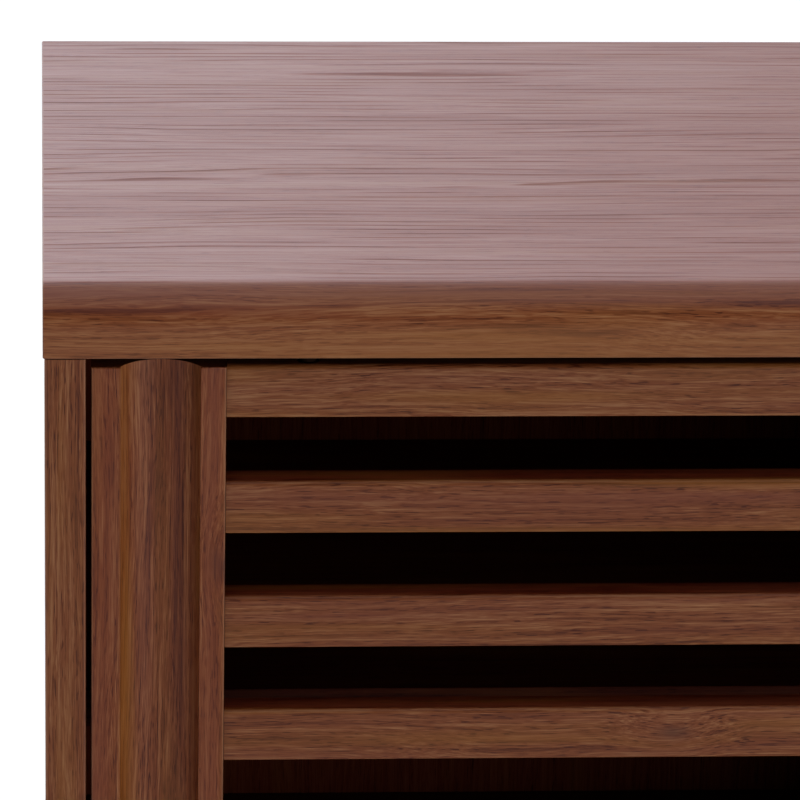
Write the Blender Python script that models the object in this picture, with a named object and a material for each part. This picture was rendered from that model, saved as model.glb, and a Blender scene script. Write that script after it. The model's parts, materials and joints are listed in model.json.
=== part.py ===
"""Shoe cabinet with two by-pass sliding doors, each a frame of horizontal slats between two stiles.

Run it with  blender --background --python part.py  or from Blender's text editor.
Metres, +Z up. The front faces -Y and +X is to the right of someone who faces it.
The origin is on the floor, under the middle of the top panel.
"""

import math

import bmesh
import bpy
from mathutils import Matrix, Vector

# ---------------------------------------------------------------- driving dimensions
GAP = 0.0003  # between pieces that touch

# case
TOP_WIDTH, TOP_DEPTH, TOP_THICK = 0.900, 0.345, 0.0250
NOSE_RUN, NOSE_DROP, NOSE_STEPS = 0.0165, 0.0150, 14  # rounded front edge of the top
TOP_OVERHANG = 0.0006  # past each side panel
FRONT_OVERHANG = 0.0005  # past the side panels' front and rear edges
SIDE_THICK = 0.015
BASE_THICK = 0.018
SHELF_THICK = 0.015
DIVIDER_THICK = 0.015
BACK_THICK, BACK_INSET, BACK_GROOVE = 0.004, 0.0053, 0.005

# base
UNDERSIDE_Z = 0.160  # height of the case above the floor
CLEAT_WIDTH, CLEAT_LENGTH, CLEAT_THICK, CLEAT_X = 0.062, 0.290, 0.018, 0.378
LEG_TOP_R, LEG_FOOT_R = 0.0190, 0.0115
LEG_Y, LEG_SPLAY_X, LEG_SPLAY_Y = 0.112, 0.024, 0.016
GLIDE_R, GLIDE_THICK = 0.0095, 0.003

# doors
STILE_WIDTH, STILE_THICK = 0.0490, 0.018
SCOOP_FROM, SCOOP_TO = 0.0106, 0.0398  # finger pull, from the door's outer edge
SCOOP_SHOULDER, SCOOP_DEPTH, SCOOP_STEPS = 0.0008, 0.0096, 18
SLAT_HEIGHT, SLAT_DEPTH, SLAT_PITCH = 0.0200, 0.0130, 0.0450
SLAT_SETBACK = 0.0020  # behind the face of the stiles
SLATS = 11  # the first is the top rail and the last is the bottom rail
DOOR_TOP_GAP, DOOR_FOOT_GAP, DOOR_SIDE_GAP = 0.0040, 0.0030, 0.0020
DOOR_SETBACK = 0.0020  # front door's face behind the side panels' front edges
DOOR_TO_DOOR = 0.0040
JOINT_GAP = 0.00015  # at each end of a slat

# running gear
GEAR_INSET = 0.030  # rollers and guides, from the stile's inner edge
TRACK_WALL = 0.0025
UPPER_CHANNEL, UPPER_DEPTH, UPPER_HEIGHT = 0.0070, 0.0070, 0.0090
LOWER_CHANNEL, LOWER_DEPTH, LOWER_HEIGHT = 0.0050, 0.0028, 0.0045
TRACK_LENGTH = 0.866
ROLLER_R, ROLLER_WIDTH = 0.0070, 0.0040
AXLE_R, AXLE_LENGTH, AXLE_BORE_R = 0.0012, 0.0084, 0.0015
HOUSING = Vector((0.0240, 0.0090, 0.0166))
HOUSING_DROP = 0.0016  # below the bottom rail
HOUSING_SLOT = Vector((0.0170, 0.0050, 0.0131))
GUIDE_R, GUIDE_SHANK_R, GUIDE_SHANK, GUIDE_REACH = 0.0030, 0.0040, 0.0120, 0.0090

# ---------------------------------------------------------------- worked-out positions
DOOR_HEIGHT = (SLATS - 1) * SLAT_PITCH + SLAT_HEIGHT
FLOOR_Z = UNDERSIDE_Z + BASE_THICK  # inside floor of the case
DOOR_Z0 = FLOOR_Z + DOOR_FOOT_GAP
DOOR_Z1 = DOOR_Z0 + DOOR_HEIGHT
CEILING_Z = DOOR_Z1 + DOOR_TOP_GAP
TOP_Z = CEILING_Z + TOP_THICK
FRONT_Y = -TOP_DEPTH / 2
SIDE_Y0, SIDE_Y1 = FRONT_Y + FRONT_OVERHANG, -FRONT_Y - FRONT_OVERHANG
SIDE_OUT_X = TOP_WIDTH / 2 - TOP_OVERHANG
SIDE_IN_X = SIDE_OUT_X - SIDE_THICK
BACK_Y0 = SIDE_Y1 - BACK_INSET - BACK_THICK
DOOR_EDGE_X = SIDE_IN_X - DOOR_SIDE_GAP  # outer edge of a closed door
DOOR_INNER_X = STILE_WIDTH / 2  # how far a closed door passes the middle
DOOR_WIDTH = DOOR_EDGE_X + DOOR_INNER_X
DOOR_FACE_Y = {
    "left": SIDE_Y0 + DOOR_SETBACK,
    "right": SIDE_Y0 + DOOR_SETBACK + STILE_THICK + DOOR_TO_DOOR,
}
RUN_Y = {side: y + SLAT_SETBACK + SLAT_DEPTH / 2 for side, y in DOOR_FACE_Y.items()}
INNER_Y0 = DOOR_FACE_Y["right"] + STILE_THICK + 0.006  # front of divider and shelves
ROLLER_Z = FLOOR_Z - LOWER_DEPTH + GAP + ROLLER_R


# ---------------------------------------------------------------- helpers
def material(name, colour, roughness, metallic=0.0):
    m = bpy.data.materials.new(name)
    m.use_nodes = True
    shader = m.node_tree.nodes["Principled BSDF"]
    shader.inputs["Base Color"].default_value = (*colour, 1.0)
    shader.inputs["Roughness"].default_value = roughness
    shader.inputs["Metallic"].default_value = metallic
    m.diffuse_color = (*colour, 1.0)
    return m


def mesh_from(bm, name):
    bmesh.ops.recalc_face_normals(bm, faces=bm.faces[:])
    mesh = bpy.data.meshes.new(name)
    bm.to_mesh(mesh)
    bm.free()
    return mesh


def box_mesh(name, size):
    """A block centred on its own origin."""
    bm = bmesh.new()
    bmesh.ops.create_cube(bm, size=1.0, matrix=Matrix.Diagonal((*size, 1.0)))
    return mesh_from(bm, name)


def prism_mesh(name, outline, length, axis):
    """An outline swept along an axis and centred on it. The outline's two numbers are the other two axes, in X, Y, Z order."""
    others = [i for i in range(3) if i != axis]
    bm = bmesh.new()
    ring = []
    for a, b in outline:
        co = [0.0, 0.0, 0.0]
        co[others[0]], co[others[1]], co[axis] = a, b, -length / 2
        ring.append(bm.verts.new(co))
    face = bm.faces.new(ring)
    made = bmesh.ops.extrude_face_region(bm, geom=[face])
    step = Vector((0, 0, 0))
    step[axis] = length
    bmesh.ops.translate(
        bm, verts=[v for v in made["geom"] if isinstance(v, bmesh.types.BMVert)], vec=step
    )
    return mesh_from(bm, name)


def turned_mesh(name, profile, steps, axis):
    """A profile of (radius, distance along the axis) spun round the axis. It starts and ends on the axis."""
    other = (axis + 1) % 3
    bm = bmesh.new()
    chain = []
    for r, along in profile:
        co = Vector((0, 0, 0))
        co[axis], co[other] = along, r
        chain.append(bm.verts.new(co))
    edges = [bm.edges.new(pair) for pair in zip(chain, chain[1:])]
    turn = Vector((0, 0, 0))
    turn[axis] = 1.0
    bmesh.ops.spin(
        bm,
        geom=chain + edges,
        cent=(0, 0, 0),
        axis=turn,
        angle=2 * math.pi,
        steps=steps,
        use_merge=True,
    )
    bmesh.ops.remove_doubles(bm, verts=bm.verts[:], dist=1e-6)
    mesh = mesh_from(bm, name)
    mesh.shade_smooth()
    mesh.set_sharp_from_angle(angle=math.radians(35))
    return mesh


def add(name, mesh, at, finish, parent=None):
    ob = bpy.data.objects.new(name, mesh)
    bpy.context.scene.collection.objects.link(ob)
    if not mesh.materials:
        mesh.materials.append(finish)
    if parent:
        ob.parent = parent
        at = Vector(at) - parent.location
    ob.location = at
    return ob


def add_box(name, low, high, finish, parent=None):
    """A board between two corners, with its origin at its centre."""
    low, high = Vector(low), Vector(high)
    return add(name, box_mesh(name, high - low), (low + high) / 2, finish, parent)


def pivot(name, at, parent=None):
    """An empty on a joint's axis."""
    ob = bpy.data.objects.new(name, None)
    bpy.context.scene.collection.objects.link(ob)
    ob.empty_display_size = 0.03
    if parent:
        ob.parent = parent
        at = Vector(at) - parent.location
    ob.location = at
    return ob


def cut(ob, cutter):
    """Takes the cutter's shape out of ob."""
    cutter.hide_render = True
    cutter.display_type = "WIRE"
    m = ob.modifiers.new("cut_" + cutter.name, "BOOLEAN")
    m.operation, m.solver, m.object = "DIFFERENCE", "EXACT", cutter


def arc(cx, cy, rx, ry, start, end, steps):
    """Points on an ellipse's arc, in degrees, with both ends."""
    found = []
    for i in range(steps + 1):
        a = math.radians(start + (end - start) * i / steps)
        found.append((cx + rx * math.cos(a), cy + ry * math.sin(a)))
    return found


# ---------------------------------------------------------------- case
def make_case(wood, inner, edge_plastic):
    # Top panel: its front edge is a quarter round that runs down into a short upright face.
    top = [
        (FRONT_Y, CEILING_Z),
        *arc(
            FRONT_Y + NOSE_RUN, TOP_Z - NOSE_DROP, NOSE_RUN, NOSE_DROP, 180, 90, NOSE_STEPS
        ),
        (-FRONT_Y, TOP_Z),
        (-FRONT_Y, CEILING_Z),
    ]
    top_panel = add("top_panel", prism_mesh("top_panel", top, TOP_WIDTH, 0), (0, 0, 0), wood)

    # Side panels: upright boards with a groove for the back panel near the rear edge.
    g0, g1 = BACK_Y0 - GAP, BACK_Y0 + BACK_THICK + GAP
    height = CEILING_Z - GAP - UNDERSIDE_Z
    for side, s in (("left", -1), ("right", 1)):
        outer, inner_x = s * SIDE_OUT_X, s * SIDE_IN_X
        deep = s * (SIDE_IN_X + BACK_GROOVE)
        outline = [
            (outer, SIDE_Y0), (inner_x, SIDE_Y0), (inner_x, g0), (deep, g0),
            (deep, g1), (inner_x, g1), (inner_x, SIDE_Y1), (outer, SIDE_Y1),
        ]  # fmt: skip
        name = "side_panel_" + side
        centre = Vector((s * (SIDE_OUT_X - SIDE_THICK / 2), 0, UNDERSIDE_Z + height / 2))
        outline = [(x - centre.x, y) for x, y in outline]
        add(name, prism_mesh(name, outline, height, 2), centre, wood)

    x = SIDE_IN_X - GAP
    bottom_panel = add_box(
        "bottom_panel",
        (-x, SIDE_Y0, UNDERSIDE_Z),
        (x, BACK_Y0 - GAP, FLOOR_Z),
        wood,
    )
    bx = SIDE_IN_X + BACK_GROOVE - GAP
    add_box(
        "back_panel",
        (-bx, BACK_Y0, UNDERSIDE_Z),
        (bx, BACK_Y0 + BACK_THICK, CEILING_Z - GAP),
        inner,
    )
    add_box(
        "centre_divider",
        (-DIVIDER_THICK / 2, INNER_Y0, FLOOR_Z + GAP),
        (DIVIDER_THICK / 2, BACK_Y0 - GAP, CEILING_Z - GAP),
        inner,
    )
    tier = (CEILING_Z - FLOOR_Z - 2 * SHELF_THICK) / 3
    for level, z in (("lower", FLOOR_Z + tier), ("upper", FLOOR_Z + 2 * tier + SHELF_THICK)):
        for side, s in (("left", -1), ("right", 1)):
            ends = sorted((s * (DIVIDER_THICK / 2 + GAP), s * (SIDE_IN_X - GAP)))
            add_box(
                f"shelf_{side}_{level}",
                (ends[0], INNER_Y0 + 0.002, z),
                (ends[1], BACK_Y0 - GAP, z + SHELF_THICK),
                inner,
            )

    # Both tracks are let into the boards, flush with their faces.
    y0 = RUN_Y["left"] - UPPER_CHANNEL / 2 - TRACK_WALL
    y1 = RUN_Y["right"] + UPPER_CHANNEL / 2 + TRACK_WALL
    half = TRACK_LENGTH / 2
    recess = add_box(
        "cutter_upper_track",
        (-half - GAP, y0 - GAP, CEILING_Z - 0.005),
        (half + GAP, y1 + GAP, CEILING_Z + UPPER_HEIGHT + GAP),
        edge_plastic,
    )
    cut(top_panel, recess)
    recess = add_box(
        "cutter_lower_track",
        (-half - GAP, y0 - GAP, FLOOR_Z - LOWER_HEIGHT - GAP),
        (half + GAP, y1 + GAP, FLOOR_Z + 0.005),
        edge_plastic,
    )
    cut(bottom_panel, recess)

    def track_outline(face_z, back_z, channel, depth):
        """A strip with one channel for each door, open towards face_z."""
        into = 1 if back_z > face_z else -1
        points = [(y0, back_z), (y0, face_z)]
        for side in ("left", "right"):
            a, b = RUN_Y[side] - channel / 2, RUN_Y[side] + channel / 2
            z = face_z + into * depth
            points += [(a, face_z), (a, z), (b, z), (b, face_z)]
        return [*points, (y1, face_z), (y1, back_z)]

    add(
        "upper_track",
        prism_mesh(
            "upper_track",
            track_outline(CEILING_Z, CEILING_Z + UPPER_HEIGHT, UPPER_CHANNEL, UPPER_DEPTH),
            TRACK_LENGTH,
            0,
        ),
        (0, 0, 0),
        edge_plastic,
    )
    add(
        "lower_track",
        prism_mesh(
            "lower_track",
            track_outline(FLOOR_Z, FLOOR_Z - LOWER_HEIGHT, LOWER_CHANNEL, LOWER_DEPTH),
            TRACK_LENGTH,
            0,
        ),
        (0, 0, 0),
        edge_plastic,
    )


# ---------------------------------------------------------------- base
def leg_mesh(name, height, dx, dy):
    """A round leg that tapers to its foot and leans out by dx, dy. Its two ends are level."""
    steps, rings, levels = 20, [], 6
    bm = bmesh.new()
    for k in range(levels + 1):
        t = k / levels  # 0 at the foot, 1 at the top
        r = LEG_FOOT_R + (LEG_TOP_R - LEG_FOOT_R) * t**0.85
        rings.append(
            [
                bm.verts.new(
                    (
                        dx * (1 - t) + r * math.cos(2 * math.pi * i / steps),
                        dy * (1 - t) + r * math.sin(2 * math.pi * i / steps),
                        height * t,
                    )
                )
                for i in range(steps)
            ]
        )
    for a, b in zip(rings, rings[1:]):
        for i in range(steps):
            j = (i + 1) % steps
            bm.faces.new((a[i], a[j], b[j], b[i]))
    bm.faces.new(rings[0])
    bm.faces.new(rings[-1])
    mesh = mesh_from(bm, name)
    mesh.shade_smooth()
    mesh.set_sharp_from_angle(angle=math.radians(35))
    return mesh


def make_base(wood, plastic):
    cleat_z = UNDERSIDE_Z - GAP - CLEAT_THICK
    leg_z0, leg_z1 = GLIDE_THICK + GAP, cleat_z - GAP
    glide = turned_mesh(
        "foot_glide",
        [
            (0, 0), (GLIDE_R - 0.0008, 0), (GLIDE_R, 0.0008),
            (GLIDE_R, GLIDE_THICK), (0, GLIDE_THICK),
        ],
        20,
        2,
    )  # fmt: skip
    for side, s in (("left", -1), ("right", 1)):
        add_box(
            "leg_cleat_" + side,
            (s * CLEAT_X - CLEAT_WIDTH / 2, -CLEAT_LENGTH / 2, cleat_z),
            (s * CLEAT_X + CLEAT_WIDTH / 2, CLEAT_LENGTH / 2, cleat_z + CLEAT_THICK),
            wood,
        )
        for end, e in (("front", -1), ("rear", 1)):
            where = f"{end}_{side}"
            dx, dy = s * LEG_SPLAY_X, e * LEG_SPLAY_Y
            name = "leg_" + where
            add(
                name,
                leg_mesh(name, leg_z1 - leg_z0, dx, dy),
                (s * CLEAT_X, e * LEG_Y, leg_z0),
                wood,
            )
            add("foot_glide_" + where, glide, (s * CLEAT_X + dx, e * LEG_Y + dy, 0), plastic)


# ---------------------------------------------------------------- doors
def stile_outline(s, pulled):
    """Section of a stile, from the door's outer edge inwards, for the door on side s. pulled adds the finger pull, a hollow along its face."""
    points = [(0, 0)]
    if pulled:
        half = (SCOOP_TO - SCOOP_FROM) / 2
        rise = SCOOP_DEPTH - SCOOP_SHOULDER
        radius = (half**2 + rise**2) / (2 * rise)
        reach = math.degrees(math.asin(half / radius))
        middle = (SCOOP_FROM + SCOOP_TO) / 2
        points.append((SCOOP_FROM, 0))
        points += arc(
            middle, SCOOP_DEPTH - radius, radius, radius, 90 + reach, 90 - reach, SCOOP_STEPS
        )
        points.append((SCOOP_TO, 0))
    points += [(STILE_WIDTH, 0), (STILE_WIDTH, STILE_THICK), (0, STILE_THICK)]
    return [(-s * (x - STILE_WIDTH / 2), y - STILE_THICK / 2) for x, y in points]


def slat_outline():
    """Section of a slat: its upper front edge is well rounded and its lower one is only eased."""
    h, d, r, q = SLAT_HEIGHT / 2, SLAT_DEPTH / 2, 0.0020, 0.0006
    return [
        *arc(-d + r, h - r, r, r, 180, 90, 4),
        (d, h),
        (d, -h),
        (-d + q, -h),
        (-d, -h + q),
    ]


def housing_mesh(name):
    """A block with a slot for the roller, open below, and a bore for its axle through both cheeks."""
    bm = bmesh.new()
    bmesh.ops.create_cube(bm, size=1.0, matrix=Matrix.Diagonal((*HOUSING, 1.0)))
    return mesh_from(bm, name)


def make_door(side, s, wood, plastic, steel):
    face = DOOR_FACE_Y[side]
    mid_y = face + STILE_THICK / 2
    run_y = RUN_Y[side]
    name = "door_" + side
    centre_x = s * (DOOR_EDGE_X - DOOR_WIDTH / 2)
    slide = pivot(name + "_slide", (centre_x, mid_y, DOOR_Z0))
    mid_z = (DOOR_Z0 + DOOR_Z1) / 2

    for place, pulled, x in (
        ("outer", True, DOOR_EDGE_X - STILE_WIDTH / 2),
        ("inner", False, -DOOR_INNER_X + STILE_WIDTH / 2),
    ):
        node = f"{name}_stile_{place}"
        mesh = prism_mesh(node, stile_outline(s, pulled), DOOR_HEIGHT, 2)
        add(node, mesh, (s * x, mid_y, mid_z), wood, slide)

    x0 = s * (DOOR_EDGE_X - STILE_WIDTH - JOINT_GAP)
    x1 = s * (-DOOR_INNER_X + STILE_WIDTH + JOINT_GAP)
    length, slat_x = abs(x1 - x0), (x0 + x1) / 2
    slat = prism_mesh(name + "_slat", slat_outline(), length, 0)
    rails = {}
    for i in range(SLATS):
        z = DOOR_Z1 - SLAT_HEIGHT / 2 - i * SLAT_PITCH
        end = {0: "top_rail", SLATS - 1: "bottom_rail"}.get(i)
        node = f"{name}_{end}" if end else f"{name}_slat_{i:02d}"
        mesh = slat.copy() if end else slat
        ob = add(node, mesh, (slat_x, run_y, z), wood, slide)
        rails[end] = ob

    for place, x in (
        ("outer", DOOR_EDGE_X - STILE_WIDTH - GEAR_INSET),
        ("inner", -DOOR_INNER_X + STILE_WIDTH + GEAR_INSET),
    ):
        x *= s
        # Top guide: a plastic peg. Its shank sits in the top rail and its head runs in the upper track.
        shank_z = DOOR_Z1 - GUIDE_SHANK
        add(
            f"{name}_top_guide_{place}",
            turned_mesh(
                f"{name}_top_guide_{place}",
                [
                    (0, 0), (GUIDE_SHANK_R, 0), (GUIDE_SHANK_R, GUIDE_SHANK),
                    (GUIDE_R, GUIDE_SHANK), (GUIDE_R, GUIDE_SHANK + GUIDE_REACH - 0.0008),
                    (GUIDE_R - 0.0008, GUIDE_SHANK + GUIDE_REACH), (0, GUIDE_SHANK + GUIDE_REACH),
                ],
                16,
                2,
            ),
            (x, run_y, shank_z),
            plastic,
            slide,
        )  # fmt: skip
        bore = add(
            f"cutter_{name}_guide_{place}",
            turned_mesh(
                f"cutter_{name}_guide_{place}",
                [
                    (0, -GAP), (GUIDE_SHANK_R + GAP, -GAP),
                    (GUIDE_SHANK_R + GAP, GUIDE_SHANK + 0.004), (0, GUIDE_SHANK + 0.004),
                ],
                16,
                2,
            ),
            (x, run_y, shank_z),
            plastic,
            slide,
        )  # fmt: skip
        cut(rails["top_rail"], bore)

        # Roller housing: let into the underside of the bottom rail.
        z0 = DOOR_Z0 - HOUSING_DROP
        housing = add(
            f"{name}_roller_housing_{place}",
            housing_mesh(f"{name}_roller_housing_{place}"),
            (x, run_y, z0 + HOUSING.z / 2),
            plastic,
            slide,
        )
        pocket = add_box(
            f"cutter_{name}_pocket_{place}",
            (x - HOUSING.x / 2 - GAP, run_y - HOUSING.y / 2 - GAP, z0 - 0.004),
            (x + HOUSING.x / 2 + GAP, run_y + HOUSING.y / 2 + GAP, z0 + HOUSING.z + GAP),
            plastic,
            slide,
        )
        cut(rails["bottom_rail"], pocket)
        slot = add_box(
            f"cutter_{name}_slot_{place}",
            (x - HOUSING_SLOT.x / 2, run_y - HOUSING_SLOT.y / 2, z0 - 0.004),
            (x + HOUSING_SLOT.x / 2, run_y + HOUSING_SLOT.y / 2, z0 + HOUSING_SLOT.z),
            plastic,
            slide,
        )
        cut(housing, slot)
        bore = add(
            f"cutter_{name}_axle_{place}",
            turned_mesh(
                f"cutter_{name}_axle_{place}",
                [(0, -0.008), (AXLE_BORE_R, -0.008), (AXLE_BORE_R, 0.008), (0, 0.008)],
                16,
                1,
            ),
            (x, run_y, ROLLER_Z),
            plastic,
            slide,
        )
        cut(housing, bore)

        # Roller and its axle, one piece that turns in the housing.
        w, a = ROLLER_WIDTH / 2, AXLE_LENGTH / 2
        add(
            f"{name}_roller_{place}",
            turned_mesh(
                f"{name}_roller_{place}",
                [
                    (0, -a), (AXLE_R, -a), (AXLE_R, -w), (ROLLER_R - 0.0005, -w),
                    (ROLLER_R, -w + 0.0005), (ROLLER_R, w - 0.0005), (ROLLER_R - 0.0005, w),
                    (AXLE_R, w), (AXLE_R, a), (0, a),
                ],
                24,
                1,
            ),
            (x, run_y, ROLLER_Z),
            steel,
            slide,
        )  # fmt: skip


def main():
    for ob in list(bpy.data.objects):
        bpy.data.objects.remove(ob, do_unlink=True)
    wood = material("walnut_laminate", (0.130, 0.052, 0.030), 0.42)
    inner = material("walnut_laminate_inside", (0.095, 0.040, 0.024), 0.55)
    track = material("track_plastic", (0.035, 0.026, 0.022), 0.45)
    nylon = material("nylon", (0.055, 0.050, 0.048), 0.40)
    roller = material("roller_nylon", (0.62, 0.60, 0.56), 0.35)
    make_case(wood, inner, track)
    make_base(wood, nylon)
    make_door("left", -1, wood, nylon, roller)
    make_door("right", 1, wood, nylon, roller)


main()
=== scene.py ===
"""Looks for the shoe cabinet: every piece is rebuilt over its CAD node, with procedural finishes."""

import json
import math
import random

import bmesh
import bpy
from mathutils import Matrix, Vector


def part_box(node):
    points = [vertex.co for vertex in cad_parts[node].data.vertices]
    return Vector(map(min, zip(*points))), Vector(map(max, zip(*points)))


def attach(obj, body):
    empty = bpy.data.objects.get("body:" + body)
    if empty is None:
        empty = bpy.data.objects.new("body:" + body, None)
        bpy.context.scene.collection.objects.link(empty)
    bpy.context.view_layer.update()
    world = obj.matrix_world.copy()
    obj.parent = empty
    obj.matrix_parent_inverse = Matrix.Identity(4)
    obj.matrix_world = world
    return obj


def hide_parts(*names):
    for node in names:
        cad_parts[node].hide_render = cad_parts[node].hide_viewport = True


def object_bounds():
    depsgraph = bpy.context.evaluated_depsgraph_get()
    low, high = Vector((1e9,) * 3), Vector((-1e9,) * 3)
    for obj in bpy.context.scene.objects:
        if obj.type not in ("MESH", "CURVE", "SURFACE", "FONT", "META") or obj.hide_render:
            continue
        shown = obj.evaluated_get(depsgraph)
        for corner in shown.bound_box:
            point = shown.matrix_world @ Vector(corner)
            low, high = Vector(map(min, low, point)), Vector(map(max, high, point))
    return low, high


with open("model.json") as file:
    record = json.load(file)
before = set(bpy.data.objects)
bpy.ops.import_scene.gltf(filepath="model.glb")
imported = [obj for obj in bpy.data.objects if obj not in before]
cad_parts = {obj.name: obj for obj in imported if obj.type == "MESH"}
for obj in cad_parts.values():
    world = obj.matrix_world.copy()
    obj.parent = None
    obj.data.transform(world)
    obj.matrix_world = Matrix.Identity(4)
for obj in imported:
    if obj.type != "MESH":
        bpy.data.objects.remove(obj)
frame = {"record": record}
bounds_at_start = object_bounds()
record = frame["record"]
BODY_OF = {n: b for b, names in record["behaviour"]["bodies"].items() for n in names}
scene = bpy.context.scene


# ---------------------------------------------------------------- node helpers
class Tree:
    """Adds nodes to a shader tree. An input is a number, a tuple or another node's output."""

    def __init__(self, tree):
        self.t = tree

    def put(self, socket, value):
        if isinstance(value, bpy.types.NodeSocket):
            self.t.links.new(value, socket)
        elif value is not None:
            socket.default_value = value

    def node(self, kind, **settings):
        n = self.t.nodes.new(kind)
        for k, v in settings.items():
            setattr(n, k, v)
        return n

    def math(self, op, a, b=None, c=None, clamp=False):
        n = self.node("ShaderNodeMath", operation=op, use_clamp=clamp)
        for i, v in enumerate((a, b, c)):
            if v is not None:
                self.put(n.inputs[i], v)
        return n.outputs[0]

    def vec(self, op, a, b=None):
        n = self.node("ShaderNodeVectorMath", operation=op)
        self.put(n.inputs[0], a)
        if b is not None:
            self.put(n.inputs[1], b)
        return n.outputs["Value" if op in ("DISTANCE", "LENGTH", "DOT_PRODUCT") else "Vector"]

    def split(self, v):
        n = self.node("ShaderNodeSeparateXYZ")
        self.put(n.inputs[0], v)
        return n.outputs[0], n.outputs[1], n.outputs[2]

    def join(self, x, y, z):
        n = self.node("ShaderNodeCombineXYZ")
        for i, v in enumerate((x, y, z)):
            self.put(n.inputs[i], v)
        return n.outputs[0]

    def noise(self, at, scale=1.0, detail=2.0, rough=0.5, distortion=0.0):
        n = self.node("ShaderNodeTexNoise", noise_dimensions="3D")
        self.put(n.inputs["Vector"], at)
        self.put(n.inputs["Scale"], scale)
        self.put(n.inputs["Detail"], detail)
        self.put(n.inputs["Roughness"], rough)
        self.put(n.inputs["Distortion"], distortion)
        return n.outputs[0]

    def span(self, v, a, b, c=0.0, d=1.0, smooth=False):
        n = self.node("ShaderNodeMapRange", interpolation_type="SMOOTHSTEP" if smooth else "LINEAR")
        n.clamp = True
        for i, x in enumerate((v, a, b, c, d)):
            self.put(n.inputs[i], x)
        return n.outputs[0]

    def ramp(self, fac, stops):
        n = self.node("ShaderNodeValToRGB")
        e = n.color_ramp.elements
        while len(e) < len(stops):
            e.new(0.5)
        for item, (at, colour) in zip(e, stops):
            item.position = at
            item.color = (*colour, 1.0)
        self.put(n.inputs[0], fac)
        return n.outputs[0]

    def mix(self, fac, a, b, blend="MIX"):
        n = self.node("ShaderNodeMix", data_type="RGBA", blend_type=blend)
        self.put(n.inputs[0], fac)
        self.put(n.inputs[6], (*a, 1.0) if isinstance(a, tuple) else a)
        self.put(n.inputs[7], (*b, 1.0) if isinstance(b, tuple) else b)
        return n.outputs[2]

    def scale_colour(self, colour, by):
        n = self.node("ShaderNodeVectorMath", operation="SCALE")
        self.put(n.inputs[0], colour)
        self.put(n.inputs["Scale"], by)
        return n.outputs[0]


def new_material(name, **shader_sockets):
    m = bpy.data.materials.new(name)
    m.use_nodes = True
    shader = m.node_tree.nodes["Principled BSDF"]
    for socket, value in shader_sockets.items():
        shader.inputs[socket.replace("_", " ")].default_value = value
    return m, Tree(m.node_tree), shader


# ---------------------------------------------------------------- walnut
ORDER = {"X": (0, 1, 2), "Y": (1, 0, 2), "Z": (2, 0, 1)}

WOOD = ((0.040, 0.0060, 0.0014), (0.126, 0.0345, 0.0098), (0.245, 0.1180, 0.0520))
# the top face's palette is lighter and pinker than the fronts': painted sheen and painted light from above
WOOD_TOP = ((0.070, 0.0080, 0.0030), (0.160, 0.0450, 0.0250), (0.235, 0.1250, 0.0980))
WOOD_STILE = ((0.042, 0.0052, 0.0012), (0.130, 0.0320, 0.0085), (0.250, 0.1060, 0.0440))
# painted shade palette: a darker, redder walnut for the slats' hidden faces and the inside of the case
WOOD_SHADE = ((0.028, 0.0020, 0.0006), (0.092, 0.0135, 0.0045), (0.160, 0.0440, 0.0180))
GOLD = (0.160, 0.0570, 0.0100)
PLUM = (0.116, 0.0310, 0.0155)


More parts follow.
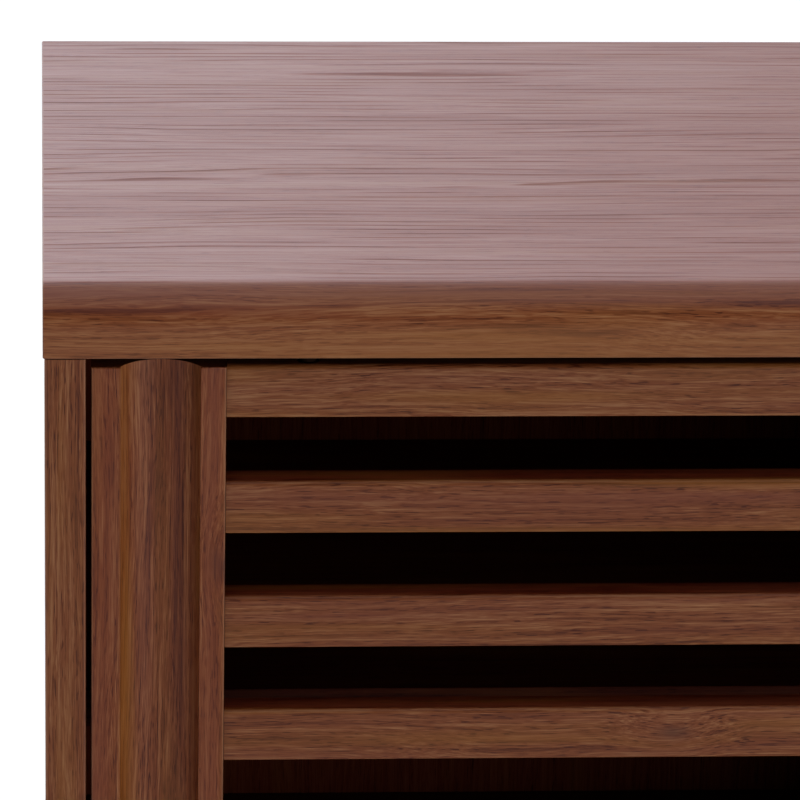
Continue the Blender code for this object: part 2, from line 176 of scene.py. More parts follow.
def walnut(name, axis, gain=1.0, contrast=1.0, rough=0.42, level=0.15, painted_highlight=0.0, relief=1.0, bands=(), lines=1.0, tone=1.0, wood=WOOD, satin=0.0):
    """Walnut laminate. axis is the way the grain runs. A mesh's seed attribute moves the figure, in mm, and its knot attribute places a knot."""
    m, t, shader = new_material(name)
    at = t.node("ShaderNodeTexCoord").outputs["Object"]
    seed = t.node("ShaderNodeAttribute", attribute_name="seed").outputs["Vector"]
    knot = t.node("ShaderNodeAttribute", attribute_name="knot").outputs["Vector"]
    mm = t.vec("MULTIPLY", at, (1000.0, 1000.0, 1000.0))
    parts = t.split(mm)
    kparts = t.split(t.vec("MULTIPLY", knot, (1000.0, 1000.0, 1000.0)))
    i, j, k = ORDER[axis]

    # a knot pushes the grain aside round it
    du = t.math("SUBTRACT", parts[i], kparts[i])
    dv = t.math("SUBTRACT", parts[j], kparts[j])
    dw = t.math("SUBTRACT", parts[k], kparts[k])
    far = t.vec("LENGTH", t.join(t.math("MULTIPLY", du, 0.42), dv, dw))
    near = t.span(far, 0.0, 14.0, 1.0, 0.0, smooth=True)
    core = t.span(far, 0.0, 4.6, 1.0, 0.0, smooth=True)
    aside = t.math("MULTIPLY", near, 3.4)

    s = t.split(seed)
    u = t.math("ADD", parts[i], s[0])
    v = t.math("ADD", t.math("ADD", parts[j], s[1]), aside)
    w = t.math("ADD", t.math("ADD", parts[k], s[2]), aside)

    # slow wander of the grain, then growth rings about an axis that runs with it
    wander = t.noise(t.join(t.math("DIVIDE", u, 230.0), t.math("DIVIDE", v, 42.0), t.math("DIVIDE", w, 42.0)), detail=2.0, rough=0.45)
    lift = t.math("MULTIPLY", t.math("SUBTRACT", wander, 0.5), 17.0)
    wobble = t.noise(t.join(t.math("DIVIDE", u, 34.0), t.math("DIVIDE", v, 5.0), t.math("DIVIDE", w, 5.0)), detail=1.0)
    lift = t.math("ADD", lift, t.math("MULTIPLY", t.math("SUBTRACT", wobble, 0.5), 0.7))
    vv = t.math("ADD", v, lift)
    ww = t.math("ADD", w, lift)
    radius = t.vec("LENGTH", t.join(0.0, t.math("SUBTRACT", vv, t.math("SNAP", vv, 160.0)), t.math("ADD", ww, 24.0)))
    ring = t.math("FRACT", t.math("DIVIDE", radius, 5.2))
    late = t.math("MULTIPLY", t.span(ring, 0.58, 0.93, smooth=True), t.span(ring, 0.95, 1.0, 1.0, 0.0))
    patchy = t.span(t.noise(t.join(t.math("DIVIDE", u, 80.0), t.math("DIVIDE", v, 6.0), t.math("DIVIDE", w, 6.0)), detail=1.5), 0.42, 0.60)
    late = t.math("MULTIPLY", t.math("MULTIPLY", late, patchy), lines)

    # streaks, fibres and pores, all drawn out along the grain
    streak = t.noise(t.join(t.math("DIVIDE", u, 85.0), t.math("DIVIDE", vv, 1.3), t.math("DIVIDE", ww, 1.3)), detail=2.0, rough=0.6)
    fibre = t.noise(t.join(t.math("DIVIDE", u, 13.0), t.math("DIVIDE", vv, 0.36), t.math("DIVIDE", ww, 0.36)), detail=2.0, rough=0.6)
    pore = t.noise(t.join(t.math("DIVIDE", u, 5.5), t.math("DIVIDE", vv, 0.42), t.math("DIVIDE", ww, 0.42)), detail=0.5, rough=0.5)
    pore = t.math("MULTIPLY", t.span(pore, 0.57, 0.67), t.span(streak, 0.64, 0.42))
    broad = t.noise(t.join(t.math("DIVIDE", u, 300.0), t.math("DIVIDE", v, 17.0), t.math("DIVIDE", w, 17.0)), detail=1.0)

    c = contrast
    value = t.math("ADD", 0.5, t.math("MULTIPLY", t.math("SUBTRACT", streak, 0.5), 0.95 * c))
    value = t.math("ADD", value, t.math("MULTIPLY", t.math("SUBTRACT", fibre, 0.5), 1.02 * c))
    value = t.math("ADD", value, t.math("MULTIPLY", t.math("SUBTRACT", broad, 0.5), 0.35 * c))
    value = t.math("SUBTRACT", value, t.math("MULTIPLY", late, 0.20 * c))
    value = t.math("SUBTRACT", value, t.math("MULTIPLY", pore, 0.38 * c))
    colour = t.ramp(value, list(zip((0.0, 0.46, 1.0), wood)))
    hue = t.noise(t.join(t.math("DIVIDE", u, 170.0), t.math("DIVIDE", v, 8.0), t.math("DIVIDE", w, 8.0)), detail=1.5)
    colour = t.mix(t.math("MULTIPLY", t.span(hue, 0.50, 0.72), 0.55 * tone), colour, GOLD)
    colour = t.mix(t.math("MULTIPLY", t.span(hue, 0.48, 0.28), 0.50 * tone), colour, PLUM)
    colour = t.mix(t.math("MULTIPLY", core, 0.62), colour, (0.042, 0.0130, 0.0080))
    for across, x0, x1, tint, share, start in bands:
        # a coloured band between two places across the grain, in mm; the bands listed below follow the nose's height
        # and the scoop's edges, and most of them are painted light, shade and reflection
        edge = (x1 - x0) * 0.35
        inside = t.math("MULTIPLY", t.span(parts[across], x0, x0 + edge, smooth=True), t.span(parts[across], x1 - edge, x1, 1.0, 0.0, smooth=True))
        inside = t.math("MULTIPLY", inside, t.span(streak, 0.30, 0.62, 0.55, 1.0))
        if start is not None:
            inside = t.math("MULTIPLY", inside, t.span(parts[i], start, start + 90.0, smooth=True))
        colour = t.mix(t.math("MULTIPLY", inside, share), colour, tint)
    # painted highlight: the colour is mixed toward a pale tan, used on the rounded edges
    if painted_highlight:
        colour = t.mix(painted_highlight, colour, (0.34, 0.215, 0.150))
    if gain != 1.0:
        colour = t.scale_colour(colour, gain)
    t.put(shader.inputs["Base Color"], colour)

    gloss = t.math("ADD", rough, t.math("MULTIPLY", t.math("SUBTRACT", fibre, 0.5), 0.16))
    gloss = t.math("ADD", gloss, t.math("MULTIPLY", t.math("SUBTRACT", broad, 0.5), 0.10))
    if satin:
        # the dark lines of the figure lie open, so they shine less
        gloss = t.math("ADD", gloss, t.math("MULTIPLY", t.math("SUBTRACT", 0.5, streak), 0.22 * satin))
        gloss = t.math("ADD", gloss, t.math("MULTIPLY", t.math("SUBTRACT", 0.5, broad), 0.25 * satin))
        gloss = t.math("ADD", gloss, t.math("MULTIPLY", late, 0.14 * satin))
    t.put(shader.inputs["Roughness"], gloss)
    shader.inputs["Specular IOR Level"].default_value = level

    height = t.math("SUBTRACT", t.math("MULTIPLY", fibre, 0.55), t.math("MULTIPLY", pore, 0.8))
    height = t.math("ADD", height, t.math("MULTIPLY", streak, 0.6))
    bump = t.node("ShaderNodeBump")
    bump.inputs["Strength"].default_value = 0.22 * relief
    bump.inputs["Distance"].default_value = 0.00012
    t.put(bump.inputs["Height"], height)
    t.put(shader.inputs["Normal"], bump.outputs[0])
    return m


def plastic(name, colour, rough, level=0.4, mottling=0.10, grit=900.0):
    m, t, shader = new_material(name)
    at = t.node("ShaderNodeTexCoord").outputs["Object"]
    cloud = t.noise(at, scale=60.0, detail=3.0)
    fine = t.noise(at, scale=grit, detail=2.0)
    shade = t.math("ADD", 1.0 - mottling / 2, t.math("MULTIPLY", cloud, mottling))
    shade = t.math("ADD", shade, t.math("MULTIPLY", t.math("SUBTRACT", fine, 0.5), mottling * 0.6))
    t.put(shader.inputs["Base Color"], t.scale_colour(colour, shade))
    t.put(shader.inputs["Roughness"], t.math("ADD", rough, t.math("MULTIPLY", t.math("SUBTRACT", cloud, 0.5), 0.15)))
    shader.inputs["Specular IOR Level"].default_value = level
    bump = t.node("ShaderNodeBump")
    bump.inputs["Strength"].default_value = 0.15
    bump.inputs["Distance"].default_value = 0.00005
    t.put(bump.inputs["Height"], fine)
    t.put(shader.inputs["Normal"], bump.outputs[0])
    return m


def metal(name, colour, rough):
    m, t, shader = new_material(name)
    at = t.node("ShaderNodeTexCoord").outputs["Object"]
    cloud = t.noise(at, scale=240.0, detail=3.0)
    t.put(shader.inputs["Base Color"], t.scale_colour(colour, t.span(cloud, 0.3, 0.7, 0.82, 1.05)))
    t.put(shader.inputs["Roughness"], t.span(cloud, 0.3, 0.7, rough - 0.06, rough + 0.10))
    shader.inputs["Metallic"].default_value = 1.0
    return m


LOOK = {
    "x": walnut("walnut_x", "X"),
    "y": walnut("walnut_y", "Y"),
    "z": walnut("walnut_z", "Z"),
    # paler copies of the walnut for the rounded edges: a painted highlight along the arrises
    "x_edge_highlight": walnut("walnut_x_edge_highlight", "X", gain=1.03, contrast=0.7, painted_highlight=0.08),
    "y_edge_highlight": walnut("walnut_y_edge_highlight", "Y", gain=1.03, contrast=0.7, painted_highlight=0.08),
    "z_edge_highlight": walnut("walnut_z_edge_highlight", "Z", gain=1.03, contrast=0.7, painted_highlight=0.08),
    "top": walnut("walnut_top", "X", contrast=0.60, lines=2.3, tone=0.40, wood=WOOD_TOP, satin=0.60),
    # the rolled front edge and underside: the walnut made 13% lighter, with two bands by height, partly figure and
    # partly painted light: the plum band over the curve paints its reflection, the gold band on the upright face below
    # paints its lit brightness
    "nose": walnut("walnut_nose", "X", gain=1.13, lines=2.0, bands=[
        (2, 671.5, 690.0, (0.104, 0.0310, 0.0230), 0.60, None),
        (2, 645.0, 672.0, (0.172, 0.0680, 0.0230), 0.42, None),
    ]),
    # a darker, redder copy of the walnut for the slats' upper faces, backs and undersides: painted shade
    "x_shade": walnut("walnut_x_shade", "X", wood=WOOD_SHADE, level=0.08),
    # the left door's outer stile, bands by x in mm: the gold band on the scoop's shoulder nearer the door's outer edge
    # is a painted highlight, the dark band on the scoop's inner wall is painted shade, and the two redder bands lie
    # over the flats either side
    "stile": walnut("walnut_z_stile", "Z", contrast=1.22, wood=WOOD_STILE, bands=[
        (0, -436.0, -422.6, (0.126, 0.0270, 0.0095), 0.42, None),
        (0, -423.0, -417.8, (0.225, 0.0840, 0.0100), 0.27, None),
        (0, -396.8, -392.2, (0.070, 0.0165, 0.0050), 0.50, None),
        (0, -393.6, -382.0, (0.120, 0.0270, 0.0100), 0.42, None),
    ]),
    # inside the case: darker copies of the walnut, painted shade
    "in_x": walnut("walnut_inside_x", "X", gain=0.55, contrast=0.8, rough=0.60, level=0.06, wood=WOOD_SHADE),
    "in_z": walnut("walnut_inside_z", "Z", gain=0.55, contrast=0.8, rough=0.60, level=0.06, wood=WOOD_SHADE),
    "deep_z": walnut("walnut_deep_z", "Z", gain=0.75, contrast=0.7, rough=0.65, level=0.04, tone=0.3, wood=WOOD_SHADE),
    "rear_z": walnut("walnut_rear_z", "Z", gain=0.75, contrast=0.8, rough=0.60, level=0.06, tone=0.5),
    "track": plastic("track_plastic", (0.016, 0.010, 0.0075), 0.50, level=0.25),
    "nylon": plastic("dark_nylon", (0.0100, 0.0050, 0.0035), 0.85, level=0.0),
    "roller": plastic("roller_nylon", (0.58, 0.56, 0.51), 0.38, mottling=0.06),
    "steel": metal("zinc_steel", (0.40, 0.38, 0.34), 0.42),
    "bronze": metal("bronzed_screw", (0.150, 0.085, 0.050), 0.45),
    "cap": plastic("brown_cap", (0.050, 0.021, 0.012), 0.42),
}


# ---------------------------------------------------------------- mesh helpers
def arc(cx, cy, rx, ry, start, end, steps):
    """Points on an ellipse's arc, in degrees, with both ends."""
    out = []
    for i in range(steps + 1):
        a = math.radians(start + (end - start) * i / steps)
        out.append((cx + rx * math.cos(a), cy + ry * math.sin(a)))
    return out


def prism(outline, a0, a1, axis):
    """An outline in the other two axes, in X, Y, Z order, swept along an axis from a0 to a1."""
    others = [i for i in range(3) if i != axis]
    bm = bmesh.new()
    rings = []
    for at in (a0, a1):
        ring = []
        for a, b in outline:
            co = [0.0, 0.0, 0.0]
            co[others[0]], co[others[1]], co[axis] = a, b, at
            ring.append(bm.verts.new(co))
        rings.append(ring)
    n = len(outline)
    for i in range(n):
        j = (i + 1) % n
        bm.faces.new((rings[0][i], rings[0][j], rings[1][j], rings[1][i]))
    bm.faces.new(rings[0][::-1])
    bm.faces.new(rings[1])
    bmesh.ops.recalc_face_normals(bm, faces=bm.faces[:])
    return bm


def block(lo, hi):
    return prism([(lo[0], lo[1]), (hi[0], lo[1]), (hi[0], hi[1]), (lo[0], hi[1])], lo[2], hi[2], 2)


def rounded_block(lo, hi, r, steps=6):
    """A board whose upright corners are rounded in plan."""
    pts = []
    for cx, cy, a in ((hi[0] - r, hi[1] - r, 0), (lo[0] + r, hi[1] - r, 90), (lo[0] + r, lo[1] + r, 180), (hi[0] - r, lo[1] + r, 270)):
        pts += arc(cx, cy, r, r, a, a + 90, steps)
    return prism(pts, lo[2], hi[2], 2)


def turned(profile, steps, at, axis):
    """A profile of (radius, distance along the axis) spun about an axis through at. It starts and ends on the axis."""
    e1, e2 = (axis + 1) % 3, (axis + 2) % 3
    bm = bmesh.new()

    def point(r, along, a):
        co = Vector(at)
        co[axis] += along
        co[e1] += r * math.cos(a)
        co[e2] += r * math.sin(a)
        return bm.verts.new(co)

    rows = []
    for r, along in profile:
        if r < 1e-7:
            rows.append([point(0, along, 0)])
        else:
            rows.append([point(r, along, 2 * math.pi * i / steps) for i in range(steps)])
    for a, b in zip(rows, rows[1:]):
        for i in range(steps):
            j = (i + 1) % steps
            if len(a) == 1:
                bm.faces.new((a[0], b[i], b[j]))
            elif len(b) == 1:
                bm.faces.new((a[i], a[j], b[0]))
            else:
                bm.faces.new((a[i], a[j], b[j], b[i]))
    bmesh.ops.recalc_face_normals(bm, faces=bm.faces[:])
    return bm


def ease(bm, width, segments=2, pick=None, angle=30, material=1):
    """Rounds the edges that turn by more than angle. The rounded strips take the material slot given by material; on
    the walnut boards that slot holds a paler copy of the walnut, a painted edge highlight.
    """
    edges = [
        e for e in bm.edges
        if len(e.link_faces) == 2 and e.calc_face_angle(0) > math.radians(angle) and (pick is None or pick(e))
    ]  # fmt: skip
    if edges:
        bmesh.ops.bevel(bm, geom=edges, offset=width, offset_type="OFFSET", segments=segments, profile=0.5, affect="EDGES", clamp_overlap=True, material=material)


def ends_take(bm, axis, material):
    """Board ends are banded, so their grain runs another way."""
    for f in bm.faces:
        f.normal_update()
        if abs(f.normal[axis]) > 0.95 and f.material_index == 0:
            f.material_index = material


def temp_object(bm, name):
    mesh = bpy.data.meshes.new(name)
    bm.to_mesh(mesh)
    bm.free()
    ob = bpy.data.objects.new(name, mesh)
    scene.collection.objects.link(ob)
    return ob


SEEDS = {}


def piece(name, bm, looks, cutters=(), body=None, stands_for=(), seed=None, knot=None, sharp=38):
    """Makes the finished mesh object, with its cuts and its shading normals in the mesh."""
    ob = temp_object(bm, name)
    for look in looks:
        ob.data.materials.append(LOOK[look])
    tools = []
    for c in cutters:
        tool = temp_object(c, name + "_cut")
        mod = ob.modifiers.new("cut", "BOOLEAN")
        mod.operation, mod.solver, mod.object = "DIFFERENCE", "EXACT", tool
        tools.append(tool)
    if tools:
        bpy.context.view_layer.update()
        done = bpy.data.meshes.new_from_object(ob.evaluated_get(bpy.context.evaluated_depsgraph_get()))
        ob.modifiers.clear()
        ob.data = done
        for tool in tools:
            bpy.data.objects.remove(tool)
    ob.data.shade_smooth()
    ob.data.set_sharp_from_angle(angle=math.radians(sharp))
    weigh = ob.modifiers.new("normals", "WEIGHTED_NORMAL")
    weigh.keep_sharp, weigh.weight = True, 80
    bpy.context.view_layer.update()
    done = bpy.data.meshes.new_from_object(ob.evaluated_get(bpy.context.evaluated_depsgraph_get()))
    ob.modifiers.clear()
    ob.data = done
    done.name = name
    rnd = random.Random(name)
    if seed is None:
        seed = (rnd.uniform(-4000, 4000), rnd.uniform(-700, 700), rnd.uniform(-700, 700))
    for label, value in (("seed", seed), ("knot", knot or (9.0, 9.0, 9.0))):
        a = done.attributes.new(label, "FLOAT_VECTOR", "POINT")
        a.data.foreach_set("vector", [c for _ in done.vertices for c in value])
    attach(ob, body or BODY_OF[stands_for[0]])
    if stands_for:
        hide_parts(*stands_for)
    return ob


def grown(lo, hi, by):
    by = Vector((by, by, by)) if isinstance(by, float) else Vector(by)
    return Vector(lo) - by, Vector(hi) + by


# ---------------------------------------------------------------- case
lo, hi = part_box("top_panel")
NOSE_RUN, NOSE_DROP = 0.0165, 0.0150
outline = [
    (lo.y, lo.z),
    *arc(lo.y + NOSE_RUN, hi.z - NOSE_DROP, NOSE_RUN, NOSE_DROP, 180, 90, 40),
    (hi.y, hi.z),
    (hi.y, lo.z),
]
bm = prism(outline, lo.x, hi.x, 0)
ease(bm, 0.0006, 2)
ends_take(bm, 0, 2)
for f in bm.faces:
    # the rolled front edge and the underside
    if f.material_index == 0 and f.normal.z < 0.985:
        f.material_index = 3
tlo, thi = grown(*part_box("upper_track"), 0.0003)
piece("top_panel_look", bm, ("top", "x_edge_highlight", "y", "nose"), [block((tlo.x, tlo.y, tlo.z - 0.01), thi)], stands_for=["top_panel"], seed=(310.0, 40.0, -690.0))

GROOVE = 0.005
blo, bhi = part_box("back_panel")
for side, s in (("left", -1), ("right", 1)):
    node = "side_panel_" + side
    lo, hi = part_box(node)
    out_x, in_x = (lo.x, hi.x) if s < 0 else (hi.x, lo.x)
    deep, g0, g1 = in_x + s * GROOVE, blo.y - 0.0003, bhi.y + 0.0003
    outline = [(out_x, lo.y), (in_x, lo.y), (in_x, g0), (deep, g0), (deep, g1), (in_x, g1), (in_x, hi.y), (out_x, hi.y)]
    bm = prism(outline, lo.z, hi.z, 2)
    ease(bm, 0.0009, 2, pick=lambda e: all(v.co.y < lo.y + 1e-5 for v in e.verts) and abs(e.verts[0].co.z - e.verts[1].co.z) > 0.1)
    ease(bm, 0.0004, 1, pick=lambda e: not all(v.co.y < lo.y + 0.002 for v in e.verts))
    ends_take(bm, 2, 2)
    piece(node + "_look", bm, ("z", "z_edge_highlight", "y"), stands_for=[node])

lo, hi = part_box("bottom_panel")
bm = block(lo, hi)
ease(bm, 0.0005, 2)
tlo, thi = grown(*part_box("lower_track"), 0.0003)
piece("bottom_panel_look", bm, ("x", "x_edge_highlight"), [block(tlo, (thi.x, thi.y, thi.z + 0.01))], stands_for=["bottom_panel"])

bm = block(blo, bhi)
ease(bm, 0.0003, 1)
# the back panel's inner face takes the darker inside walnut, painted shade; its outer face takes rear_z
for f in bm.faces:
    f.normal_update()
    f.material_index = 1 if f.normal.y > 0.5 else 0
piece("back_panel_look", bm, ("deep_z", "rear_z"), stands_for=["back_panel"])

lo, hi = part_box("centre_divider")
bm = block(lo, hi)
ease(bm, 0.0005, 2)
piece("centre_divider_look", bm, ("in_z", "in_z"), stands_for=["centre_divider"])
for side in ("left", "right"):
    for level in ("lower", "upper"):
        node = f"shelf_{side}_{level}"
        bm = block(*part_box(node))
        ease(bm, 0.0005, 2)
        piece(node + "_look", bm, ("in_x", "in_x"), stands_for=[node])

# ---------------------------------------------------------------- tracks
RUN = {}
for side in ("left", "right"):
    a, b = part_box(f"door_{side}_roller_outer")
    RUN[side] = (a.y + b.y) / 2


def track(node, upper, channel, depth):
    lo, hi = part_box(node)
    face, back = (lo.z, hi.z) if upper else (hi.z, lo.z)
    into = 1 if upper else -1
    pts = [(lo.y, back), (lo.y, face)]
    for side in ("left", "right"):
        a, b = RUN[side] - channel / 2, RUN[side] + channel / 2
        deep = face + into * depth
        r = 0.0006
        lip = [(a - r, face), (a - 0.3 * r, face + into * 0.3 * r), (a, face + into * r)]
        floor = [(a, deep - into * r), (a + 0.3 * r, deep - into * 0.3 * r), (a + r, deep)]
        pts += lip + floor
        pts += [(a + b - y, z) for y, z in reversed(lip + floor)]
    pts += [(hi.y, face), (hi.y, back)]
    bm = prism(pts, lo.x, hi.x, 0)
    piece(node + "_look", bm, ("track",), stands_for=[node])


track("upper_track", True, 0.0070, 0.0070)
track("lower_track", False, 0.0050, 0.0028)


# ---------------------------------------------------------------- screws and caps
def screw(name, at, axis, way, r=0.0036, height=0.0011, body="cabinet"):
    """A pan head with a cross recess. way is +1 or -1 along the axis, out of the board."""
    prof = [(0, 0), (r, 0), (r, 0.25 * height)]
    for i in range(1, 7):
        a = math.radians(90 * i / 6)
        prof.append((r * (0.55 + 0.45 * math.cos(a)), 0.25 * height + 0.75 * height * math.sin(a)))
    prof.append((0, height))
    bm = turned([(x, way * z) for x, z in prof], 28, at, axis)
    cuts = []
    e1, e2 = (axis + 1) % 3, (axis + 2) % 3
    for a, b in ((e1, e2), (e2, e1)):
        lo, hi = Vector(at), Vector(at)
        lo[a] -= r * 0.52
        hi[a] += r * 0.52
        lo[b] -= r * 0.11
        hi[b] += r * 0.11
        z0, z1 = sorted((at[axis] + way * height * 0.45, at[axis] + way * height * 2))
        lo[axis], hi[axis] = z0, z1
        cuts.append(block(lo, hi))
    piece(name, bm, ("bronze",), cuts, body=body)


def cap(name, at, axis, way, r=0.0085, height=0.0012):
    """A push-in cover over a cam lock."""
    prof = [(0, 0), (r, 0), (r, 0.35 * height), (r * 0.93, 0.85 * height), (r * 0.80, height), (r * 0.55, 0.82 * height), (0, 0.74 * height)]
    bm = turned([(x, way * z) for x, z in prof], 36, at, axis)
    piece(name, bm, ("cap",), body="cabinet")


rear = bhi.y
n = 0
for x in (-0.330, -0.110, 0.110, 0.330):
    for node in ("shelf_left_lower", "shelf_left_upper"):
        a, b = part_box(node)
        n += 1
        screw(f"back_screw_{n:02d}", (x, rear, (a.z + b.z) / 2), 1, 1, r=0.0033, height=0.0010)
for z in (0.250, 0.415, 0.580):
    n += 1
    screw(f"back_screw_{n:02d}", (0.0, rear, z), 1, 1, r=0.0033, height=0.0010)
n = 0
for s in (-1, 1):
    a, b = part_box("side_panel_left")
    wall = s * (-b.x)
    for y in (-0.075, 0.115):
        for z in (0.196, 0.632):
            n += 1
            cap(f"cam_cap_{n:02d}", (wall, y, z), 0, -s)

# ---------------------------------------------------------------- base
for side, s in (("left", -1), ("right", 1)):
    node = "leg_cleat_" + side
    lo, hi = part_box(node)
    bm = rounded_block(lo, hi, 0.008)
    ease(bm, 0.0014, 3, angle=60)
    piece(node + "_look", bm, ("y", "y_edge_highlight"), stands_for=[node])
    cx = (lo.x + hi.x) / 2
    for i, y in enumerate((-0.068, 0.0, 0.068)):
        for k, dx in enumerate((-0.020, 0.020)):
            screw(f"cleat_screw_{side}_{2 * i + k + 1}", (cx + dx, y, lo.z), 2, -1, r=0.0040, height=0.0012)
    for end, e in (("front", -1), ("rear", 1)):
        node = f"leg_{end}_{side}"
        lo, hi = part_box(node)
        top_r, foot_r = 0.0190, 0.0115
        glo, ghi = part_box("foot_glide_" + f"{end}_{side}")
        foot = Vector(((glo.x + ghi.x) / 2, (glo.y + ghi.y) / 2, 0))
        top = Vector((foot.x - s * 0.024, foot.y - e * 0.016, 0))
        steps, levels = 56, 36
        bm = bmesh.new()
        rings = []
        for q in range(levels + 1):
            t = q / levels
            r = foot_r + (top_r - foot_r) * t**0.85
            if q == 0:
                r -= 0.0014
            centre = foot.lerp(top, t)
            z = lo.z + (hi.z - lo.z) * t
            if q == 1:
                ring_z = lo.z + 0.0014
                t = (ring_z - lo.z) / (hi.z - lo.z)
                centre, z = foot.lerp(top, t), ring_z
                r = foot_r + (top_r - foot_r) * t**0.85
            rings.append([bm.verts.new((centre.x + r * math.cos(2 * math.pi * i / steps), centre.y + r * math.sin(2 * math.pi * i / steps), z)) for i in range(steps)])
        for a, b in zip(rings, rings[1:]):
            for i in range(steps):
                j = (i + 1) % steps
                bm.faces.new((a[i], a[j], b[j], b[i]))
        bm.faces.new(rings[0][::-1])
        bm.faces.new(rings[-1])
        bmesh.ops.recalc_face_normals(bm, faces=bm.faces[:])
        piece(node + "_look", bm, ("z",), stands_for=[node], sharp=60)
        node = f"foot_glide_{end}_{side}"
        r, h = (ghi.x - glo.x) / 2, ghi.z - glo.z
        prof = [(0, 0.0), (r - 0.0012, 0.0), (r - 0.0004, 0.0003), (r, 0.0011), (r, h - 0.0003), (r - 0.0003, h), (0, h)]
        piece(node + "_look", turned(prof, 40, (foot.x, foot.y, 0.0), 2), ("nylon",), stands_for=[node])

# ---------------------------------------------------------------- doors
STILE_WIDTH = 0.0490
SCOOP_FROM, SCOOP_TO, SCOOP_SHOULDER, SCOOP_DEPTH = 0.0106, 0.0398, 0.0008, 0.0096


def stile(side, s, place):
    node = f"door_{side}_stile_{place}"
    lo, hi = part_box(node)
    # x runs from the door's outer edge inwards
    outer_edge = (lo.x if s < 0 else hi.x) if place == "outer" else None
    pts = [(0.0, 0.0)]
    if place == "outer":
        half = (SCOOP_TO - SCOOP_FROM) / 2
        rise = SCOOP_DEPTH - SCOOP_SHOULDER
        radius = (half**2 + rise**2) / (2 * rise)
        reach = math.degrees(math.asin(half / radius))
        pts.append((SCOOP_FROM, 0.0))
        pts += arc((SCOOP_FROM + SCOOP_TO) / 2, SCOOP_DEPTH - radius, radius, radius, 90 + reach, 90 - reach, 44)
        pts.append((SCOOP_TO, 0.0))
    thick = hi.y - lo.y
    pts += [(STILE_WIDTH, 0.0), (STILE_WIDTH, thick), (0.0, thick)]
    x0 = outer_edge if place == "outer" else (lo.x if s < 0 else hi.x)
    outline = [(x0 - s * x, lo.y + y) for x, y in pts]
    bm = prism(outline, lo.z, hi.z, 2)

    def long_corner(e):
        a, b = e.verts
        if abs(a.co.z - b.co.z) < 0.1:
            return False
        x = abs(a.co.x - x0)
        return x < 1e-5 or abs(x - STILE_WIDTH) < 1e-5

    ease(bm, 0.0006, 2, pick=long_corner)
    r = 0.0006
    cuts = []
    for z, way in ((hi.z, 1), (lo.z, -1)):
        corner = [(lo.y - 0.002, z + way * 0.002), (lo.y - 0.002, z - way * r)]
        corner += [(lo.y + r - r * math.cos(math.radians(q * 9)), z - way * (r - r * math.sin(math.radians(q * 9)))) for q in range(0, 11)]
        corner += [(lo.y + r, z + way * 0.002)]
        cuts.append(prism(corner, lo.x - 0.003, hi.x + 0.003, 0))
    knot = None
    if node == "door_left_stile_outer":
        knot = (lo.x + 0.0458, lo.y, 0.5755)
    face = "stile" if node == "door_left_stile_outer" else "z"
    piece(node + "_look", bm, (face, "z_edge_highlight"), cuts, stands_for=[node], knot=knot)


def slat_outline(lo, hi, r=0.0020, q=0.0006, b=0.0005):
    return [
        *arc(lo.y + r, hi.z - r, r, r, 180, 90, 8),
        *arc(hi.y - b, hi.z - b, b, b, 90, 0, 2),
        *arc(hi.y - b, lo.z + b, b, b, 0, -90, 2),
        *arc(lo.y + q, lo.z + q, q, q, 270, 180, 3),
    ]


def slat_board(lo, hi):
    """A slat whose upper face, back and underside take a darker, redder copy of the walnut: painted shade."""
    bm = prism(slat_outline(lo, hi), lo.x, hi.x, 0)
    for f in bm.faces:
        f.normal_update()
        if abs(f.normal.x) < 0.5 and (f.normal.z > 0.97 or f.normal.z < -0.97 or f.normal.y > 0.2):
            f.material_index = 1
    return bm


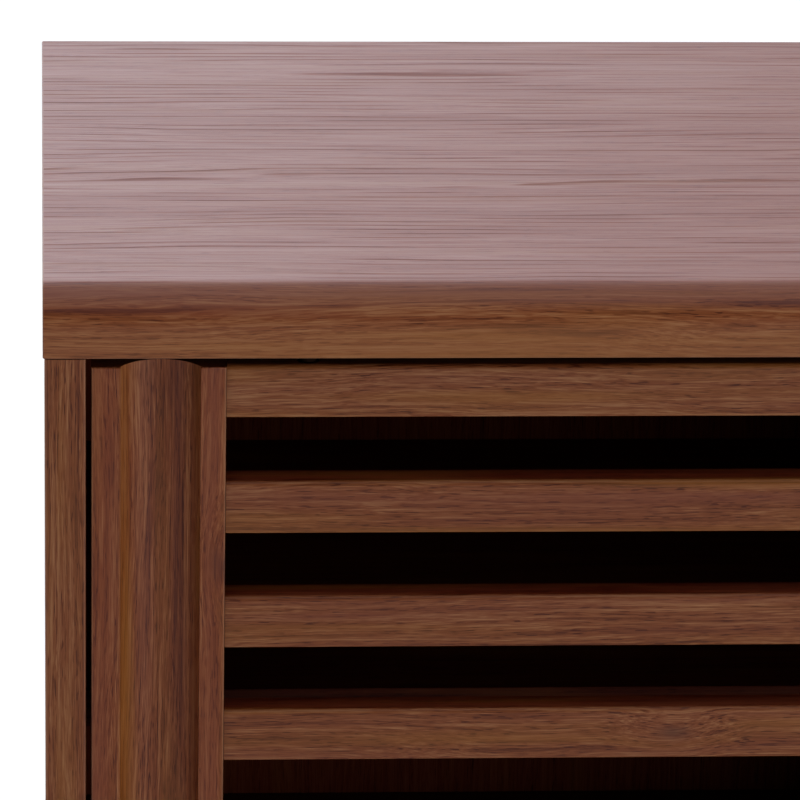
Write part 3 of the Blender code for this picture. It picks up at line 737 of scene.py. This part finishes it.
for side, s in (("left", -1), ("right", 1)):
    body = "door_" + side
    stile(side, s, "outer")
    stile(side, s, "inner")
    for i in range(1, 10):
        node = f"door_{side}_slat_{i:02d}"
        lo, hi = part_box(node)
        knot = None
        if node == "door_left_slat_03":
            knot = (lo.x + 0.1680, lo.y, hi.z - 0.0100)
        piece(node + "_look", slat_board(lo, hi), ("x", "x_shade"), stands_for=[node], knot=knot)
    # the top rail has a bore for each guide, and the bottom rail a pocket for each roller housing
    node = f"door_{side}_top_rail"
    lo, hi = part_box(node)
    cuts = []
    for place in ("outer", "inner"):
        a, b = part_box(f"door_{side}_top_guide_{place}")
        cx, cy = (a.x + b.x) / 2, (a.y + b.y) / 2
        r = (b.x - a.x) / 2 + 0.0003
        z0 = a.z - 0.0003 - hi.z
        cuts.append(turned([(0, z0), (r, z0), (r, 0.003), (0, 0.003)], 40, (cx, cy, hi.z), 2))
    piece(node + "_look", prism(slat_outline(lo, hi), lo.x, hi.x, 0), ("x",), cuts, stands_for=[node])
    node = f"door_{side}_bottom_rail"
    lo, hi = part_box(node)
    cuts = []
    for place in ("outer", "inner"):
        a, b = grown(*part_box(f"door_{side}_roller_housing_{place}"), 0.0003)
        cuts.append(block((a.x, a.y, lo.z - 0.004), b))
    piece(node + "_look", prism(slat_outline(lo, hi), lo.x, hi.x, 0), ("x",), cuts, stands_for=[node])

    for place in ("outer", "inner"):
        node = f"door_{side}_top_guide_{place}"
        a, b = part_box(node)
        cx, cy = (a.x + b.x) / 2, (a.y + b.y) / 2
        rs, rh, reach, h = (b.x - a.x) / 2, 0.0030, 0.0120, b.z - a.z
        prof = [(0, 0), (rs - 0.0004, 0), (rs, 0.0004), (rs, reach - 0.0003), (rs - 0.0003, reach), (rh, reach), (rh, h - 0.0014)]
        prof += [(rh - 0.0014 * (1 - math.cos(math.radians(q))), h - 0.0014 * (1 - math.sin(math.radians(q)))) for q in (30, 60, 90)]
        prof += [(0, h)]
        piece(node + "_look", turned(prof, 40, (cx, cy, a.z), 2), ("nylon",), stands_for=[node])

        node = f"door_{side}_roller_housing_{place}"
        a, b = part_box(node)
        cx, cy = (a.x + b.x) / 2, (a.y + b.y) / 2
        ra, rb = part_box(f"door_{side}_roller_{place}")
        rz = (ra.z + rb.z) / 2
        bm = block(a, b)
        ease(bm, 0.0006, 2, material=0)
        slot_cut = block((cx - 0.0085, cy - 0.0025, a.z - 0.002), (cx + 0.0085, cy + 0.0025, a.z + 0.0131))
        bore = turned([(0, -0.008), (0.0015, -0.008), (0.0015, 0.008), (0, 0.008)], 32, (cx, cy, rz), 1)
        piece(node + "_look", bm, ("nylon",), [slot_cut, bore], stands_for=[node])

        node = f"door_{side}_roller_{place}"
        R = (rb.x - ra.x) / 2
        wheel = [(0, -0.0020), (R - 0.0022, -0.0020), (R - 0.0018, -0.0017), (R - 0.0010, -0.0020), (R - 0.0004, -0.0018), (R, -0.0012), (R, 0.0012), (R - 0.0004, 0.0018), (R - 0.0010, 0.0020), (R - 0.0018, 0.0017), (R - 0.0022, 0.0020), (0, 0.0020)]
        piece(node + "_look", turned(wheel, 48, (cx, cy, rz), 1), ("roller",), stands_for=[node])
        for end, way in (("front", -1), ("rear", 1)):
            pin = [(0, way * 0.00195), (0.0012, way * 0.00195), (0.0012, way * 0.0039), (0.0009, way * 0.0042), (0, way * 0.0042)]
            piece(f"door_{side}_axle_{place}_{end}", turned(pin, 24, (cx, cy, rz), 1), ("steel",), body=BODY_OF[node])

# ---------------------------------------------------------------- stage
bm = bmesh.new()
half = 40.0
bm.faces.new([bm.verts.new((x * half, y * half, 0.0)) for x, y in ((-1, -1), (1, -1), (1, 1), (-1, 1))])
floor = temp_object(bm, "floor")
m, t, shader = new_material("floor")
grain = t.noise(t.node("ShaderNodeTexCoord").outputs["Object"], scale=3.0, detail=4.0)
shade = t.mix(grain, (0.58, 0.58, 0.58), (0.62, 0.62, 0.615))
t.put(shader.inputs["Base Color"], shade)
t.put(shader.inputs["Emission Color"], shade)
shader.inputs["Emission Strength"].default_value = 0.40
shader.inputs["Roughness"].default_value = 0.85
shader.inputs["Specular IOR Level"].default_value = 0.10
floor.data.materials.append(m)

world = bpy.data.worlds.new("studio")
scene.world = world
world.use_nodes = True
t = Tree(world.node_tree)
for node in list(world.node_tree.nodes):
    world.node_tree.nodes.remove(node)
direction = t.node("ShaderNodeTexCoord").outputs["Generated"]
dx, dy, dz = t.split(direction)
backward = t.span(dy, -0.10, 0.35, 0.0, 1.0, smooth=True)
low = t.span(dz, 0.52, 0.84, 1.0, 0.0, smooth=True)
leftward = t.span(dx, 0.20, -0.06, 0.0, 1.0)
bright = t.math("ADD", 1.18, t.math("MULTIPLY", leftward, 2.55))
dim = t.span(dz, 0.66, 0.96, 0.11, 2.15, smooth=True)
share = t.math("MULTIPLY", backward, low)
strength = t.math("ADD", t.math("MULTIPLY", share, bright), t.math("MULTIPLY", t.math("SUBTRACT", 1.0, share), dim))
background = t.node("ShaderNodeBackground")
t.put(background.inputs["Color"], t.mix(share, (1.0, 1.0, 0.99), (0.94, 0.975, 1.09)))
t.put(background.inputs["Strength"], strength)
output = t.node("ShaderNodeOutputWorld")
world.node_tree.links.new(background.outputs[0], output.inputs[0])


def softbox(name, at, aim, width, height, power, colour=(1, 1, 1), diffuse=True):
    light = bpy.data.lights.new(name, "AREA")
    light.shape, light.size, light.size_y = "RECTANGLE", width, height
    light.energy, light.color = power, colour
    ob = bpy.data.objects.new(name, light)
    scene.collection.objects.link(ob)
    ob.location = at
    ob.rotation_euler = (Vector(aim) - Vector(at)).to_track_quat("-Z", "Y").to_euler()
    ob.visible_camera = False
    ob.visible_diffuse = diffuse
    return ob


softbox("key", (2.55, -3.10, 0.62), (-0.2, -0.17, 0.45), 3.8, 0.9, 77)

# ---------------------------------------------------------------- camera
cam = bpy.data.cameras.new("camera")
cam.lens, cam.sensor_width, cam.sensor_fit = 247.5, 36.0, "HORIZONTAL"
cam.clip_start, cam.clip_end = 0.05, 200.0
cam_ob = bpy.data.objects.new("camera", cam)
scene.collection.objects.link(cam_ob)
pitch, yaw, roll = 0.330636, 0.068342, 0.019376
forward = Vector((math.sin(yaw) * math.cos(pitch), math.cos(yaw) * math.cos(pitch), -math.sin(pitch)))
right = Vector((math.cos(yaw), -math.sin(yaw), 0.0))
up = right.cross(forward)
ax = right * math.cos(roll) + up * math.sin(roll)
ay = -right * math.sin(roll) + up * math.cos(roll)
place = Matrix((ax, ay, -forward)).transposed().to_4x4()
place.translation = (-0.449517, -2.059121, 1.288209)
cam_ob.matrix_world = place
scene.camera = cam_ob

scene.view_settings.view_transform = "Standard"
scene.view_settings.look = "None"
scene.view_settings.exposure = 0.0
scene.view_settings.gamma = 1.0

lo, hi = bounds_at_start
